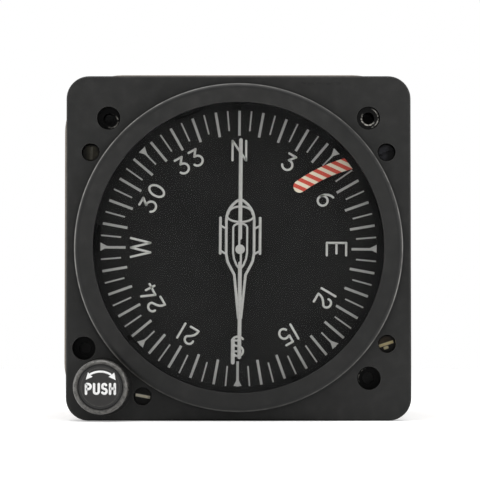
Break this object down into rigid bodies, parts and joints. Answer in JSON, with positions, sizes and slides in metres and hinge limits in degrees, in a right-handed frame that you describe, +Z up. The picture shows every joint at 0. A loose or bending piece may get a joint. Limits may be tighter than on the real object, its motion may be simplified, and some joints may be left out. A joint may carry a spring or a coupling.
{
  "type": "directional gyro",
  "caption": "Panel-mounted electric directional gyro: square flanged bezel, turning compass card, warning flag, push-to-set knob, geared gimbals and rotor in a closed case.",
  "frame": {"origin": "on the dial's axis, in the plane of the flange's front face", "axes": "+Y from the dial to the rear, +Z up, +X to the right as the pilot sees the dial"},
  "size_m": [0.0844, 0.1703, 0.0844],
  "materials": {
    "black_finish": "worn black anodised aluminium casting",
    "knob_black": "black with a worn bright rim",
    "case_paint": "olive brown baked paint",
    "mask_black": "matt black",
    "card_black": "matt black with off-white marks",
    "flag_paint": "red and off-white stripes",
    "glass": "clear, with marks on its rear face",
    "brass": "plain or darkened brass",
    "steel": "bright or plated steel",
    "alloy": "machined aluminium alloy",
    "rubber": "black rubber",
    "laminate": "brown moulded laminate"
  },
  "bodies": {
    "housing": {"bezel": "black_finish", "bezel_screws": "brass", "panel_inserts": "brass", "glass_gasket": "rubber", "cover_glass": "glass", "dial_mask": "mask_black", "mask_retaining_ring": "mask_black", "bezel_gasket": "rubber", "case_shell": "case_paint", "rear_cover_gasket": "rubber", "rear_cover": "case_paint", "rear_cover_screws": "steel", "connector_screws": "steel", "connector_shell": "alloy", "connector_insert": "laminate", "connector_pins": "brass", "gyro_frame": "alloy", "frame_screws": "steel", "card_bearings": "steel", "idler_stud": "steel", "gimbal_bearings": "steel", "brush_block": "laminate", "brushes": "steel", "knob_bushing": "brass", "shaft_seal": "rubber", "knob_spring": "steel", "guide_pin": "steel", "flag_bushing": "brass", "flag_coil": "laminate", "board_standoffs": "steel", "inverter_board": "laminate", "transformer": "steel", "capacitors": "alloy", "harness": "rubber"},
    "card": {"compass_card": "card_black", "card_hub": "alloy", "card_screws": "steel", "card_shaft": "steel", "heading_gear": "brass", "card_bevel_gear": "alloy"},
    "idler": {"idler_gear": "brass"},
    "outer_gimbal_set": {"outer_gimbal": "alloy", "gimbal_bevel_gear": "alloy", "gimbal_pivots": "steel", "slip_rings": "brass", "tilt_bearings": "steel"},
    "rotor_case": {"rotor_case_front": "alloy", "rotor_case_rear": "alloy", "tilt_pivots": "steel", "rotor_bearings": "steel", "stator": "steel"},
    "rotor": {"gyro_rotor": "steel"},
    "push_carriage": {"caging_fork": "steel"},
    "knob": {"setting_knob": "knob_black", "knob_set_screw": "steel", "knob_shaft": "steel", "pinion": "brass"},
    "flag": {"flag_vane": "flag_paint", "flag_shaft": "steel"}
  },
  "joints": [
    {"name": "outer_gimbal_turn", "type": "hinge", "parent": "housing", "child": "outer_gimbal_set", "pos_m": [0, 0.058, 0], "axis": [0, 0, 1], "continuous": true},
    {"name": "card_turn", "type": "hinge", "parent": "housing", "child": "card", "pos_m": [0, 0.01, 0], "axis": [0, 1, 0], "continuous": true},
    {"name": "idler_turn", "type": "hinge", "parent": "housing", "child": "idler", "pos_m": [-0.02073, 0.02, -0.02126], "axis": [0, 1, 0], "continuous": true},
    {"name": "gimbal_tilt", "type": "hinge", "parent": "outer_gimbal_set", "child": "rotor_case", "pos_m": [0, 0.058, 0], "axis": [1, 0, 0], "range_deg": [-55, 55]},
    {"name": "rotor_spin", "type": "hinge", "parent": "rotor_case", "child": "rotor", "pos_m": [0, 0.058, 0], "axis": [0, 1, 0], "continuous": true},
    {"name": "flag_swing", "type": "hinge", "parent": "housing", "child": "flag", "pos_m": [0.03047, 0.0017, 0.02134], "axis": [0, 1, 0], "range_deg": [0, 64], "stiffness_Nm_per_rad": 0.0002, "springref_deg": -34.38},
    {"name": "knob_push", "type": "slide", "parent": "housing", "child": "push_carriage", "axis": [0, 1, 0], "range_m": [0, 0.004], "stiffness_N_per_m": 400, "springref_m": -0.004, "deforming": ["knob_spring"]},
    {"name": "knob_turn", "type": "hinge", "parent": "push_carriage", "child": "knob", "pos_m": [-0.03257, 0, -0.03341], "axis": [0, 1, 0], "continuous": true}
  ],
  "couplings": [
    {"joint": "card_turn", "follows": "outer_gimbal_turn", "ratio": -1},
    {"joint": "idler_turn", "follows": "outer_gimbal_turn", "ratio": 1.3333}
  ]
}
